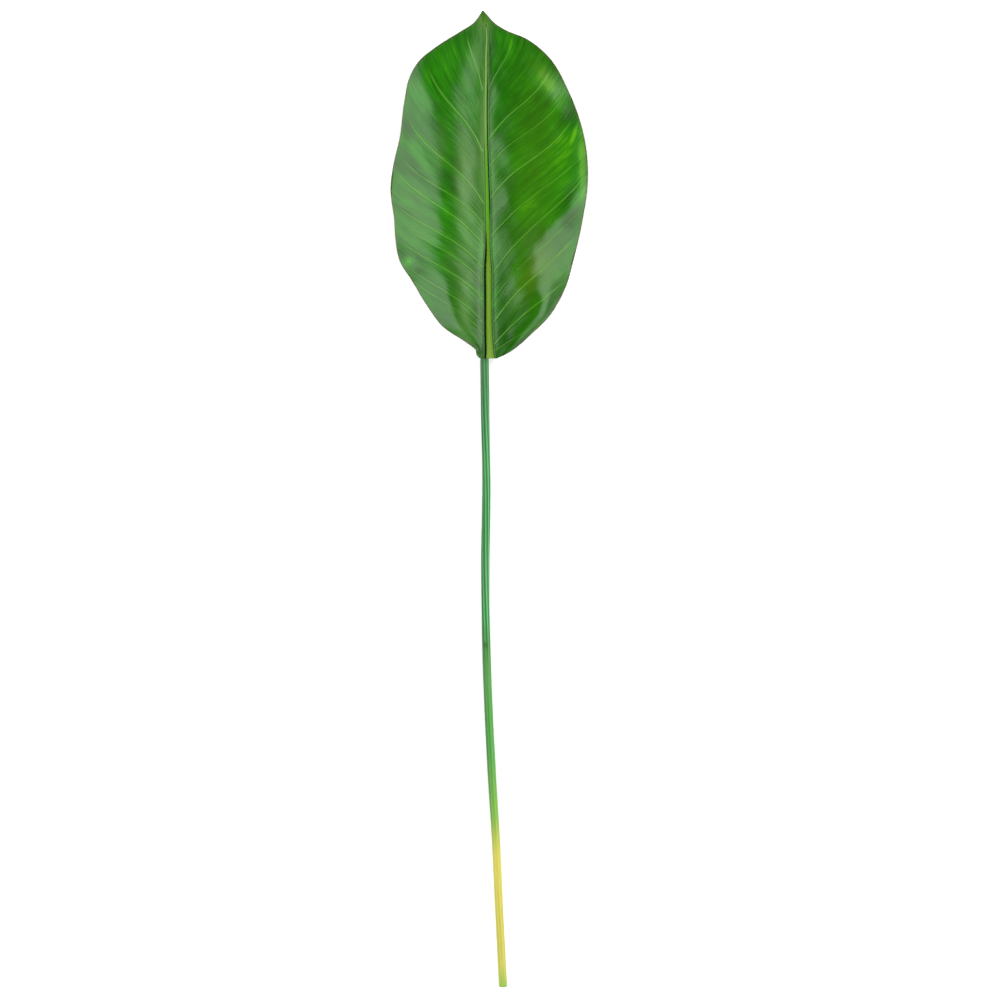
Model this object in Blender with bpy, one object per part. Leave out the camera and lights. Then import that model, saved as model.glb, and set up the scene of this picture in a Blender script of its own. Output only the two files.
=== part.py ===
"""A single rubber plant leaf, moulded in soft plastic, on a long cut stem.

The leaf lies face up. +Y runs from the cut end of the stem to the tip of the
blade, +X to the right of the face and +Z up. The origin is under the middle
of the leaf, on the surface that it lies on. Sizes are in millimetres, and
become metres where a mesh is made. Heights up the blade start at its base.
"""

import bpy
import numpy as np

METRES = 0.001

# Whole leaf, tip to cut end, and the gap between neighbouring solids
TOTAL_LENGTH = 841.0
BLADE_LENGTH = 299.7
GAP = 0.3
BASE_Y = TOTAL_LENGTH / 2 - BLADE_LENGTH
CUT_Y = -TOTAL_LENGTH / 2

# Blade: edges from base to tip as (x, height), left and right of the face
LEFT_EDGE = (
    (-9.9, 0.8), (-11.2, 5.0), (-19.8, 14.2), (-40.4, 28.0), (-52.4, 44.0),
    (-67.0, 68.0), (-76.5, 83.0), (-80.8, 104.0), (-81.9, 121.0), (-85.1, 146.0),
    (-83.4, 163.0), (-77.0, 191.0), (-73.1, 221.0), (-68.8, 241.0), (-61.1, 255.0),
    (-44.7, 268.8), (-23.2, 282.5), (-12.9, 289.4), (-7.9, 296.2), (-5.9, 299.7),
)
RIGHT_EDGE = (
    (8.6, 0.9), (14.6, 3.4), (24.9, 10.3), (36.1, 20.6), (50.3, 34.4),
    (63.2, 55.0), (74.0, 89.4), (80.6, 119.0), (85.0, 151.0), (82.1, 189.6),
    (76.5, 210.3), (68.4, 230.9), (52.5, 258.4), (31.8, 275.6), (14.6, 282.7),
    (4.3, 289.4), (-1.7, 296.2), (-4.7, 299.7),
)

# Middle line of the rib as (height, x)
RIB_LINE = (
    (0, 1.2), (20, 0.3), (76, -0.3), (110, -0.9), (153, -1.8), (200, -2.9),
    (257, -2.5), (285, -2.4), (299.7, -5.3),
)

# Side veins: height where each leaves the rib, and share of the edge it runs to
LEFT_VEINS = (
    (22, 0.263), (31.5, 0.316), (51, 0.374), (66, 0.42), (79, 0.459), (97, 0.534),
    (115, 0.577), (134, 0.679), (179, 0.819), (232, 0.94),
)
RIGHT_VEINS = (
    (7, 0.15), (13, 0.262), (31.5, 0.377), (51, 0.44), (74, 0.514), (105, 0.566),
    (139, 0.66), (166, 0.72), (189, 0.79), (232, 0.905),
)
VEIN_RIDGE = 0.35
VEIN_HALF_WIDTH = 0.9
VEIN_LIFT = 0.10  # how steeply a vein leaves the rib, as a share of its length
VEIN_SAGS = ((0, 0.06), (100, 0.06), (150, 0.22), (299.7, 0.22))  # later bow, as such a share

# Form of the face by height: lips of the rib's channel, flank beside them, inner
# slope, flat crest, and the wavy edges. Starts and ends are shares of the half width.
LIP_HEIGHTS = ((0, 13.2), (30, 13.0), (60, 11.8), (110, 10.2), (170, 9.8), (230, 8.8), (299.7, 7.0))
FLANK_RISES = {
    -1: ((0, 2.0), (85, 2.0), (115, 0.3), (299.7, 0.1)),
    1: ((0, 1.0), (60, 1.0), (299.7, 0.3)),
}
FLANK_REACH = 3.0
INNER_SLOPES = {
    -1: ((0, 0.24), (299.7, 0.24)),
    1: ((0, 0.21), (130, 0.2), (190, 0.19), (235, 0.06), (299.7, 0.03)),
}
INNER_STARTS = {
    -1: ((0, 0.1), (30, 0.1), (85, 0.07), (115, 0.0), (299.7, 0.0)),
    1: ((0, 0.3), (50, 0.2), (62, 0.1), (95, 0.0), (299.7, 0.0)),
}
CREST_STARTS = {
    -1: (
        (0, 0.45), (50, 0.38), (100, 0.31), (160, 0.29), (199, 0.34), (223, 0.4), (248, 0.29),
        (299.7, 0.2),
    ),
    1: ((0, 0.66), (50, 0.6), (62, 0.39), (80, 0.27), (120, 0.2), (299.7, 0.2)),
}
CREST_ENDS = {
    -1: (
        (0, 0.6), (50, 0.54), (100, 0.45), (160, 0.45), (190, 0.49), (218, 0.63), (234, 0.79),
        (246, 0.88), (299.7, 0.93),
    ),
    1: (
        (0, 0.9), (40, 0.9), (50, 0.83), (60, 0.69), (72, 0.56), (90, 0.48), (110, 0.65),
        (130, 0.88), (200, 0.88), (215, 0.75), (240, 0.62), (260, 0.55), (299.7, 0.5),
    ),
}
CORNER_SOFTNESS = 3.6
DROOP_POWER = 1.08
EDGE_HEIGHTS = {
    -1: (
        (0, 12.4), (14, 11.6), (40, 8.6), (62, 6.2), (82, 8.6), (104, 3.2), (122, 2.4),
        (142, 0.6), (162, 0.6), (184, 3.0), (205, 4.4), (228, 6.4), (245, 9.4), (258, 9.4),
        (282, 7.4), (299.7, 6.4),
    ),
    1: (
        (0, 12.8), (30, 10.6), (45, 7.6), (60, 2.8), (75, 0.6), (95, 0.6), (110, 3.0),
        (130, 8.0), (150, 11.0), (200, 10.6), (215, 8.6), (228, 5.6), (240, 6.0), (252, 7.4),
        (282, 7.2), (299.7, 6.4),
    ),
}
BLADE_THICKNESS = 1.1
EDGE_THICKNESS = 0.85

# Places of the grid's columns between the lip and the edge
COLUMNS = (0.05, 0.14, 0.25, 0.36, 0.48, 0.63, 0.82, 1.0)
ROW_STEP = 8.0
FAN_ROWS = (0.0, 1.2, 2.4, 3.6, 4.8, 9.6, 11.0)

# Rib: a tapered strip in a channel along the face
RIB_END = 286.0
RIB_WIDTHS = (
    (0, 7.3), (3, 6.5), (8, 5.9), (20, 5.3), (50, 4.6), (80, 4.2), (88, 3.1), (98, 2.5),
    (112, 3.1), (130, 3.2), (153, 2.6), (200, 2.1), (256, 1.6), (286, 1.1),
)
RIB_PROUD = ((0, 2.3), (6, 1.5), (50, 1.4), (80, 1.3), (96, 0.7), (130, 0.8), (200, 0.5), (286, 0.25))
CHANNEL_DEPTHS = ((0, 2.2), (90, 1.9), (150, 1.3), (286, 0.9))
CREVICE_WIDTHS = {
    -1: ((0, 1.5), (85, 1.5), (112, GAP), (299.7, GAP)),
    1: ((0, GAP), (115, GAP), (130, 0.7), (225, 0.7), (245, GAP), (299.7, GAP)),
}
WALL_SLOPE = 0.25
LIP_WIDTH = 1.5
LIP_DROP = 0.3
CHANNEL_SHARES = (0.56, 0.62, 0.8)  # most of a narrow row that the channel takes
RIB_ROUND_STEPS = 6

# Keel along the underside
FLOOR_THICKNESS = 1.0
KEEL_DEPTHS = ((0, 4.6), (26, 4.2), (60, 2.0), (150, 1.6), (299.7, 0.3))
KEEL_HALF_WIDTHS = ((0, 9.5), (30, 9.0), (70, 6.0), (299.7, 3.0))
KEEL_OFFSETS = ((0, -3.6), (30, -3.0), (70, 0.0), (299.7, 0.0))

# Stem: fluted rod, its middle line as (y, x) and as (y, z)
STEM_LINE = (
    (CUT_Y, 12.1), (-345, 8.3), (-293, 5.9), (-242, 2.7), (-190, 0.0), (-126, -2.4),
    (-61, -3.2), (16, -2.3), (68, -3.2), (120, -3.9), (BASE_Y + 60, -4.0),
)
STEM_HEIGHTS = (
    (CUT_Y, 3.0), (-372, 3.0), (-350, 3.2), (-315, 3.65), (-200, 4.3), (60, 5.6), (BASE_Y + 60, 5.8),
)
STEM_RADII = ((CUT_Y, 3.55), (BASE_Y + 60, 3.75))
STEM_TOP_Y = BASE_Y + 24
FLUTES = 8
FLUTE_DEPTHS = ((CUT_Y, 0.1), (-160, 0.12), (-118, 0.34), (BASE_Y + 60, 0.34))
TWIST_PER_MM = 0.006
STEM_SIDES = 32
STEM_STEP = 13.0
CUT_BEVEL = 0.5

# Socket: a sleeve under the base of the blade, which fairs into the keel
SOCKET_RINGS = (
    # height, lift above the stem's middle line, radius
    (1.6, 0.0, 4.8), (2.4, 0.0, 5.15), (5.0, 0.0, 5.15), (6.5, 0.0, 5.0), (22.0, 0.0, 5.0),
    (30.0, 0.7, 3.9), (38.0, 1.6, 2.7), (46.0, 2.5, 1.6), (52.0, 3.3, 0.7),
)
SOCKET_SIDES = 24
BORE_CLEARANCE = GAP


def spline(knots, places):
    """Smooth values at the places, through knots of (place, value)."""
    place, value = np.array(knots, float).T
    slope = np.gradient(value, place)
    at = np.clip(places, place[0], place[-1])
    k = np.clip(np.searchsorted(place, at, side="right") - 1, 0, len(place) - 2)
    step = place[k + 1] - place[k]
    t = (at - place[k]) / step
    start = (2 * t**3 - 3 * t**2 + 1) * value[k] + (t**3 - 2 * t**2 + t) * step * slope[k]
    end = (3 * t**2 - 2 * t**3) * value[k + 1] + (t**3 - t**2) * step * slope[k + 1]
    return start + end


def smooth_step(value, low, high):
    """Rises from 0 at low to 1 at high."""
    t = np.clip((value - low) / (high - low), 0.0, 1.0)
    return t * t * (3 - 2 * t)


def straight(knots, places):
    """Values at the places on straight lines between knots of (place, value)."""
    return np.interp(places, *np.array(knots, float).T)


def soft_ramp(value, width):
    """Zero below zero and the value itself above, with a soft corner."""
    return width * np.logaddexp(0.0, value / width)


def edge_curve(points):
    """Evenly spaced (x, height) points along a blade edge, and their shares."""
    points = np.array(points, float)
    steps = np.hypot(*np.diff(points, axis=0).T)
    places = np.concatenate(([0.0], np.cumsum(steps)))
    dense = np.linspace(0.0, places[-1], 1600)
    x = spline(np.column_stack((places, points[:, 0])), dense)
    height = spline(np.column_stack((places, points[:, 1])), dense)
    along = np.concatenate(([0.0], np.cumsum(np.hypot(np.diff(x), np.diff(height)))))
    return x, height, along / along[-1]


EDGES = {-1: edge_curve(LEFT_EDGE), 1: edge_curve(RIGHT_EDGE)}
VEINS = {-1: LEFT_VEINS, 1: RIGHT_VEINS}


def edge_point(side, share):
    """Point of the edge at a share of its length from the base."""
    x, height, shares = EDGES[side]
    return np.array((np.interp(share, shares, x), np.interp(share, shares, height)))


def half_width(side, height):
    """Distance from the rib's middle to the edge, at a height."""
    x, heights, _ = EDGES[side]
    return np.interp(height, heights, np.abs(x - spline(RIB_LINE, heights)))


def edge_share(side, height):
    """Where a row that leaves the rib at this height meets the edge."""
    knots = ((0.0, 0.0),) + VEINS[side] + ((BLADE_LENGTH, 1.0),)
    if side < 0:
        knots = ((0.0, 0.0), (7, 0.115), (13, 0.185)) + knots[1:]
    return float(np.clip(spline(knots, height), 0.0, 1.0))


def channel_offsets(side, height):
    """Distances from the rib's middle to the channel's floor edge, wall top and lip."""
    floor = spline(RIB_WIDTHS, height) / 2 + straight(CREVICE_WIDTHS[side], height)
    offsets = np.array((floor, floor + WALL_SLOPE, floor + WALL_SLOPE + LIP_WIDTH))
    return np.minimum(offsets, half_width(side, height) * np.array(CHANNEL_SHARES))


def channel_depth(height):
    """Depth of the rib's channel below the lips, running out past the rib's end."""
    run_out = 1.0 - smooth_step(height, RIB_END + 1.0, RIB_END + 4.0)
    return spline(CHANNEL_DEPTHS, height) * run_out


def face_height(side, x, height):
    """Height of the smooth face above the surface that the leaf lies on."""
    lip = spline(LIP_HEIGHTS, height)
    width = half_width(side, height)
    inner = channel_offsets(side, height)[2]
    run = max(width - inner, 0.01)
    off = np.clip(abs(x - spline(RIB_LINE, height)) - inner, 0.0, run)
    soft = min(CORNER_SOFTNESS, 0.1 * run + 0.02)
    low = straight(INNER_STARTS[side], height) * run
    high = straight(CREST_STARTS[side], height) * run
    end = max(straight(CREST_ENDS[side], height) * run, high)
    flank = spline(FLANK_RISES[side], height) * min(run / 25.0, 1.0)
    climb = soft_ramp(off - low, soft) - soft_ramp(off - high, soft)
    climb -= soft_ramp(-low, soft) - soft_ramp(-high, soft)
    top = lip + flank * (1 - np.exp(-off / FLANK_REACH)) + straight(INNER_SLOPES[side], height) * climb
    droop = min(soft_ramp(off - end, soft) / soft_ramp(run - end, soft), 1.0) ** DROOP_POWER
    return top + (spline(EDGE_HEIGHTS[side], height) - top) * droop


def keel_drop(x, height):
    """How far the keel stands below the blade's underside."""
    middle = spline(RIB_LINE, height) + spline(KEEL_OFFSETS, height)
    off = min(abs(x - middle) / spline(KEEL_HALF_WIDTHS, height), 1.0)
    return spline(KEEL_DEPTHS, height) * (1 - off**2) ** 2


def row_heights():
    """Heights on the rib where the grid's rows start."""
    veins = sorted({height for side in VEINS for height, _ in VEINS[side]})
    rows = set(FAN_ROWS)
    for height in veins:
        rows.update((height - VEIN_HALF_WIDTH, height, height + VEIN_HALF_WIDTH))
    rows.add(BLADE_LENGTH)
    rows = sorted(rows)
    filled = []
    for low, high in zip(rows, rows[1:]):
        count = int(np.ceil((high - low) / ROW_STEP))
        filled.extend(low + (high - low) * k / count for k in range(count))
    return filled + [rows[-1]]


def row_half(side, row):
    """Face and back points of one row, from the channel's floor edge to the blade's edge."""
    middle = spline(RIB_LINE, row)
    floor, wall, lip = channel_offsets(side, row)
    lip_z = spline(LIP_HEIGHTS, row)
    depth = channel_depth(row)
    floor_back = lip_z - depth - FLOOR_THICKNESS
    face, back = [], []
    for offset, top in ((floor, lip_z - depth), (wall, lip_z - min(LIP_DROP, depth))):
        x = middle + side * offset
        low = face_height(side, x, row) - BLADE_THICKNESS - keel_drop(x, row)
        face.append((x, row, top))
        back.append((x, row, min(low, floor_back)))
    start = np.array((middle + side * lip, row))
    end = edge_point(side, edge_share(side, row))
    chord = end - start
    up = np.array((0.0, np.hypot(*chord)))
    handle_a = start + chord * 0.33 + up * VEIN_LIFT * smooth_step(row, 2, 20)
    handle_b = start + chord * 0.70 - up * straight(VEIN_SAGS, row) * smooth_step(row, 2, 30)
    is_vein = any(abs(row - height) < 1e-6 for height, _ in VEINS[side])
    for t in (0.0,) + COLUMNS:
        x, height = (
            (1 - t) ** 3 * start
            + 3 * (1 - t) ** 2 * t * handle_a
            + 3 * (1 - t) * t**2 * handle_b
            + t**3 * end
        )
        smooth = face_height(side, x, height)
        ridge = VEIN_RIDGE * (1 - 0.7 * t) if is_vein and 0 < t < 1 else 0.0
        thickness = BLADE_THICKNESS + (EDGE_THICKNESS - BLADE_THICKNESS) * t
        face.append((x, height, smooth + ridge))
        back.append((x, height, smooth - thickness - keel_drop(x, height) * (t < 1) - ridge))
    return face, back


def blade_grid():
    """Face and back points, row by row from the left edge to the right edge."""
    faces, backs = [], []
    for row in row_heights():
        left, left_back = row_half(-1, row)
        right, right_back = row_half(1, row)
        middle = spline(RIB_LINE, row)
        floor = spline(LIP_HEIGHTS, row) - channel_depth(row)
        low = face_height(1, middle, row) - BLADE_THICKNESS - keel_drop(middle, row)
        low = min(low, floor - FLOOR_THICKNESS)
        faces.append(left[::-1] + [(middle, row, floor)] + right)
        backs.append(left_back[::-1] + [(middle, row, low)] + right_back)
    face, back = np.array(faces, float), np.array(backs, float)
    for grid in (face, back):
        grid[:, :, 1] += BASE_Y
    lowest = np.maximum(back[:, :, 2], 0.0)
    face[:, :, 2] += lowest - back[:, :, 2]
    back[:, :, 2] = lowest
    return face, back


def sheet_faces(rows, columns, flip, first):
    """Triangles of a grid of points, split alike whichever way they face."""
    faces = []
    for r in range(rows - 1):
        for c in range(columns - 1):
            a = first + r * columns + c
            b, d = a + 1, a + columns
            e = d + 1
            leans_left = c < columns // 2
            pair = ((a, b, d), (b, e, d)) if leans_left else ((a, b, e), (a, e, d))
            faces.extend(face[::-1] if flip else face for face in pair)
    return faces


def border(rows, columns):
    """The grid's outline, counter-clockwise seen from above."""
    base = [(0, c) for c in range(columns - 1)]
    right = [(r, columns - 1) for r in range(rows - 1)]
    tip = [(rows - 1, c) for c in range(columns - 1, 0, -1)]
    left = [(r, 0) for r in range(rows - 1, 0, -1)]
    return [r * columns + c for r, c in base + right + tip + left]


def mesh_object(name, points, faces, material=None):
    """A mesh object from points in millimetres."""
    mesh = bpy.data.meshes.new(name)
    mesh.from_pydata([tuple(float(v) * METRES for v in point) for point in points], [], faces)
    mesh.shade_smooth()
    mesh.set_sharp_from_angle(angle=np.radians(40))
    item = bpy.data.objects.new(name, mesh)
    bpy.context.scene.collection.objects.link(item)
    if material:
        mesh.materials.append(material)
    return item


def loft(name, rings, material=None):
    """A closed solid through rings of points that each run counter-clockwise."""
    sides = len(rings[0])
    points = [point for ring in rings for point in ring]
    faces = []
    for r in range(len(rings) - 1):
        for k in range(sides):
            a, b = r * sides + k, r * sides + (k + 1) % sides
            faces.append((b, a, a + sides, b + sides))
    faces.append(tuple(range(sides)))
    faces.append(tuple(range(len(points) - 1, len(points) - sides - 1, -1)))
    return mesh_object(name, points, faces, material)


def plastic(name, colour, roughness):
    """A moulded plastic of one colour."""
    material = bpy.data.materials.new(name)
    material.use_nodes = True
    shader = material.node_tree.nodes["Principled BSDF"]
    shader.inputs["Base Color"].default_value = (*colour, 1.0)
    shader.inputs["Roughness"].default_value = roughness
    shader.inputs["Metallic"].default_value = 0.0
    return material


def stem_middle(y):
    """Middle line of the stem at a place along it."""
    return float(spline(STEM_LINE, y)), float(spline(STEM_HEIGHTS, y))


def stem_ring(y, inset=0.0):
    """One fluted section of the stem, flat where it rests at the cut end."""
    x, z = stem_middle(y)
    radius = float(spline(STEM_RADII, y)) - inset
    turn = TWIST_PER_MM * (y - CUT_Y)
    depth = float(spline(FLUTE_DEPTHS, y))
    ring = []
    for k in range(STEM_SIDES):
        angle = 2 * np.pi * k / STEM_SIDES
        groove = depth * (0.5 - 0.5 * np.cos(FLUTES * angle))
        reach = radius - groove
        height = z + reach * np.sin(angle + turn)
        ring.append((x + reach * np.cos(angle + turn), y, max(height, 0.0)))
    return ring


def build_stem():
    """The fluted rod from its cut end into the socket."""
    count = round((STEM_TOP_Y - CUT_Y) / STEM_STEP)
    places = list(np.linspace(CUT_Y + CUT_BEVEL, STEM_TOP_Y - CUT_BEVEL, count))
    rings = [stem_ring(CUT_Y, CUT_BEVEL)]
    rings += [stem_ring(y) for y in places]
    rings.append(stem_ring(STEM_TOP_Y, CUT_BEVEL))
    loft("stem", rings, plastic("Stem green", (0.09, 0.30, 0.10), 0.45))


def round_ring(y, lift, radius):
    """One round section about the stem's middle line."""
    x, z = stem_middle(y)
    ring = []
    for k in range(SOCKET_SIDES):
        angle = 2 * np.pi * (k + 0.5) / SOCKET_SIDES
        ring.append((x + radius * np.cos(angle), y, z + lift + radius * np.sin(angle)))
    return ring


def helper(item):
    """Keeps a shape that only cuts or joins out of the model."""
    item.hide_render = True
    item.display_type = "WIRE"
    return item


def add_boolean(item, other, operation):
    """Joins a helper to an object, or cuts it away."""
    modifier = item.modifiers.new(other.name, "BOOLEAN")
    modifier.operation = operation
    modifier.solver = "EXACT"
    modifier.object = helper(other)


def build_blade():
    """The blade with its channel, veins, keel and socket, in one piece."""
    face, back = blade_grid()
    rows, columns = face.shape[:2]
    size = rows * columns
    faces = sheet_faces(rows, columns, False, 0) + sheet_faces(rows, columns, True, size)
    outline = border(rows, columns)
    for a, b in zip(outline, outline[1:] + outline[:1]):
        faces.append((a + size, b + size, b))
        faces.append((a + size, b, a))
    points = np.concatenate((face.reshape(-1, 3), back.reshape(-1, 3)))
    blade = mesh_object("blade", points, faces, plastic("Blade green", (0.05, 0.22, 0.02), 0.4))
    sleeve = loft("socket_outside", [round_ring(BASE_Y + h, lift, r) for h, lift, r in SOCKET_RINGS])
    bore_places = np.linspace(BASE_Y - 4, STEM_TOP_Y + GAP, 6)
    bore = loft(
        "socket_bore",
        [round_ring(y, 0.0, float(spline(STEM_RADII, y)) + BORE_CLEARANCE) for y in bore_places],
    )
    add_boolean(blade, sleeve, "UNION")
    add_boolean(blade, bore, "DIFFERENCE")


def rib_section(height):
    """One section of the rib: flat underneath, rounded above."""
    middle = float(spline(RIB_LINE, height))
    half = float(spline(RIB_WIDTHS, height)) / 2
    lip = float(spline(LIP_HEIGHTS, height))
    floor = lip - float(channel_depth(height)) + GAP
    top = lip + float(spline(RIB_PROUD, height))
    shoulder = max(top - 0.7 * half, floor + 0.35 * (top - floor))
    section = [(middle + half, floor), (middle - half, floor)]
    for k in range(RIB_ROUND_STEPS + 1):
        angle = np.pi * (1 - k / RIB_ROUND_STEPS)
        x = middle + half * np.cos(angle)
        section.append((x, shoulder + (top - shoulder) * np.sin(angle)))
    return [(x, BASE_Y + height, z) for x, z in section][::-1]


def build_rib():
    """The tapered strip along the middle of the face."""
    heights = [0.0, 1.2, 3.0, 6.0, 12.0]
    heights += list(np.arange(20.0, 76.0, 7.0)) + list(np.arange(77.0, 104.0, 3.0))
    heights += list(np.linspace(106.0, RIB_END, 30))
    loft("midrib", [rib_section(h) for h in heights], plastic("Rib pale green", (0.17, 0.33, 0.06), 0.4))


def main():
    for item in list(bpy.data.objects):
        bpy.data.objects.remove(item)
    build_blade()
    build_rib()
    build_stem()


main()
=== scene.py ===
"""Dresses the rubber plant leaf: a waved blade with side veins, a pale midrib
and a long fluted stem, face up on a pale studio floor.

Lengths are in millimetres until a mesh is made. Heights up the blade start at
its base, and side is -1 for the left half of the face and 1 for the right.
"""

import bpy
import numpy as np
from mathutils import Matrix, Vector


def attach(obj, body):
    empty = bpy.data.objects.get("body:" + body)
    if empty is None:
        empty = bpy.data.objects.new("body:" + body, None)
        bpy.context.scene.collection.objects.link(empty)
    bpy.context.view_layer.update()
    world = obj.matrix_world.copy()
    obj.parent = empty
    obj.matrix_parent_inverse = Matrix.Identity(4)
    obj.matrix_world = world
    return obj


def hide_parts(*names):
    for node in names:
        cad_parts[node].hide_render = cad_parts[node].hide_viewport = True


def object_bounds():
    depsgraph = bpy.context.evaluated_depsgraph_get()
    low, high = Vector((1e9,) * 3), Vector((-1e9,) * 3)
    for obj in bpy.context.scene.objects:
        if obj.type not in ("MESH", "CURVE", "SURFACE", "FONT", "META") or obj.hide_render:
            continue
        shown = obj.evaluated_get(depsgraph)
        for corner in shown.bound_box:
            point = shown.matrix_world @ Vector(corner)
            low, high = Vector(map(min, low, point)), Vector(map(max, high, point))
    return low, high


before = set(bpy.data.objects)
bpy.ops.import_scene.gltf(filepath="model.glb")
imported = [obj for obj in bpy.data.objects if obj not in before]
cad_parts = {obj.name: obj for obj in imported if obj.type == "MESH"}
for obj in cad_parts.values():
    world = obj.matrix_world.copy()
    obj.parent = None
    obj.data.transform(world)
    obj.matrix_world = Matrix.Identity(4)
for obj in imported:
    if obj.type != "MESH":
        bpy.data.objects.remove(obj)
CAD_BOX = [list(corner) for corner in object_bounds()]

bl_info = {
    "name": "Rubber plant leaf",
    "version": (1, 0, 0),
    "blender": (4, 5, 0),
    "location": "3D View > Sidebar > Leaf",
    "description": "Builds a moulded rubber plant leaf on its stem",
    "category": "Object",
}

MM = 0.001

# Whole leaf, tip to cut end, and the gap between neighbouring pieces
TOTAL_LENGTH = 841.0
BLADE_LENGTH = 299.7
GAP = 0.3
BASE_Y = TOTAL_LENGTH / 2 - BLADE_LENGTH
CUT_Y = -TOTAL_LENGTH / 2

# Blade: edges from base to tip as (x, height), left and right of the face
LEFT_EDGE = (
    (-8.6, 0.4), (-10.4, 1.9), (-10.9, 3.6), (-10.0, 5.6), (-11.3, 7.2), (-14.0, 10.2),
    (-19.8, 14.2), (-40.4, 28.0), (-52.4, 44.0), (-67.0, 68.0), (-76.5, 83.0),
    (-80.8, 104.0), (-81.9, 121.0), (-85.1, 146.0), (-83.4, 163.0), (-77.0, 191.0),
    (-73.1, 221.0), (-68.8, 241.0), (-61.1, 255.0), (-44.7, 268.8), (-23.2, 282.5),
    (-12.9, 289.4), (-7.9, 296.2), (-5.9, 299.7),
)
RIGHT_EDGE = (
    (8.6, 0.9), (14.6, 3.4), (24.9, 10.3), (36.1, 20.6), (50.3, 34.4),
    (63.2, 55.0), (74.0, 89.4), (80.6, 119.0), (85.0, 151.0), (82.1, 189.6),
    (76.5, 210.3), (68.4, 230.9), (52.5, 258.4), (31.8, 275.6), (14.6, 282.7),
    (4.3, 289.4), (-1.7, 296.2), (-4.7, 299.7),
)

# Middle line of the rib as (height, x)
RIB_LINE = (
    (0, 1.2), (20, 0.3), (76, -0.3), (110, -0.9), (153, -1.8), (200, -2.9),
    (257, -2.5), (285, -2.4), (299.7, -5.3),
)

# Side veins: height where each leaves the rib, share of the edge it runs to,
# and how strongly it shows
LEFT_VEINS = (
    (22, 0.263, 0.55), (31.5, 0.316, 0.7), (51, 0.374, 0.9), (66, 0.42, 0.45),
    (79, 0.459, 0.9), (97, 0.534, 1.0), (115, 0.577, 0.8), (134, 0.679, 1.0),
    (179, 0.819, 1.0), (232, 0.94, 0.9),
)
RIGHT_VEINS = (
    (7, 0.15, 0.4), (13, 0.262, 0.9), (31.5, 0.377, 0.9), (51, 0.44, 0.4),
    (74, 0.514, 0.8), (105, 0.566, 0.7), (139, 0.66, 1.0), (166, 0.72, 0.7),
    (189, 0.79, 0.9), (232, 0.905, 0.6),
)

# Where rows meet the edge round the ear at the left of the base
EAR_SHARES = ((7, 0.115), (13, 0.185))

# Each row of the face is a curve with two handles, at these shares of its chord.
# The first is lifted towards the tip and the second sags towards the base, by
# shares of the row's length
HANDLE_PLACES = (0.33, 0.70)
START_LIFT = 0.10
SAG_SHARES = ((0, 0.06), (100, 0.06), (150, 0.22), (299.7, 0.22))

# Form of the face by height: lips of the rib's channel, flank beside them,
# inner slope, flat crest, and the heights of the wavy edges
LIP_HEIGHTS = ((0, 13.2), (30, 13.0), (60, 11.8), (110, 10.2), (170, 9.8), (230, 8.8), (299.7, 7.0))
FLANK_RISES = {
    -1: ((0, 2.0), (85, 2.0), (115, 0.3), (299.7, 0.1)),
    1: ((0, 1.0), (60, 1.0), (299.7, 0.3)),
}
FLANK_REACH = 3.0
INNER_SLOPES = {
    -1: ((0, 0.24), (299.7, 0.24)),
    1: ((0, 0.21), (130, 0.2), (190, 0.19), (235, 0.06), (299.7, 0.03)),
}
INNER_STARTS = {
    -1: ((0, 0.22), (30, 0.2), (60, 0.12), (85, 0.07), (115, 0.0), (299.7, 0.0)),
    1: ((0, 0.3), (50, 0.2), (62, 0.1), (95, 0.0), (299.7, 0.0)),
}
CREST_STARTS = {
    -1: (
        (0, 0.57), (30, 0.5), (60, 0.38), (100, 0.31), (160, 0.29), (199, 0.34), (223, 0.4),
        (248, 0.29), (299.7, 0.2),
    ),
    1: ((0, 0.66), (50, 0.6), (62, 0.39), (80, 0.27), (120, 0.2), (299.7, 0.2)),
}
CREST_ENDS = {
    -1: (
        (0, 0.6), (50, 0.54), (100, 0.45), (160, 0.45), (190, 0.49), (218, 0.63), (234, 0.79),
        (246, 0.88), (299.7, 0.93),
    ),
    1: (
        (0, 0.9), (40, 0.9), (50, 0.83), (60, 0.69), (72, 0.56), (90, 0.48), (110, 0.65),
        (130, 0.88), (200, 0.88), (215, 0.75), (240, 0.62), (260, 0.55), (299.7, 0.5),
    ),
}
CORNER_SOFTNESS = 3.6
DROOP_POWER = 1.08
EDGE_HEIGHTS = {
    -1: (
        (0, 12.4), (14, 11.6), (40, 8.6), (62, 6.2), (82, 8.6), (104, 3.2), (122, 2.4),
        (142, 0.6), (162, 0.6), (184, 3.0), (205, 4.4), (228, 6.4), (245, 9.4), (258, 9.4),
        (282, 7.4), (299.7, 6.4),
    ),
    1: (
        (0, 12.8), (30, 10.6), (45, 7.6), (60, 2.8), (75, 0.6), (95, 0.6), (110, 3.0), (130, 8.0),
        (150, 11.0), (200, 10.6), (215, 8.6), (228, 5.6), (240, 6.0), (252, 7.4), (282, 7.2),
        (299.7, 6.4),
    ),
}
BLADE_THICKNESS = 1.1
EDGE_THICKNESS = 0.85
CEILING_SOFTNESS = 0.15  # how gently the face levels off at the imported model's top

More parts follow.
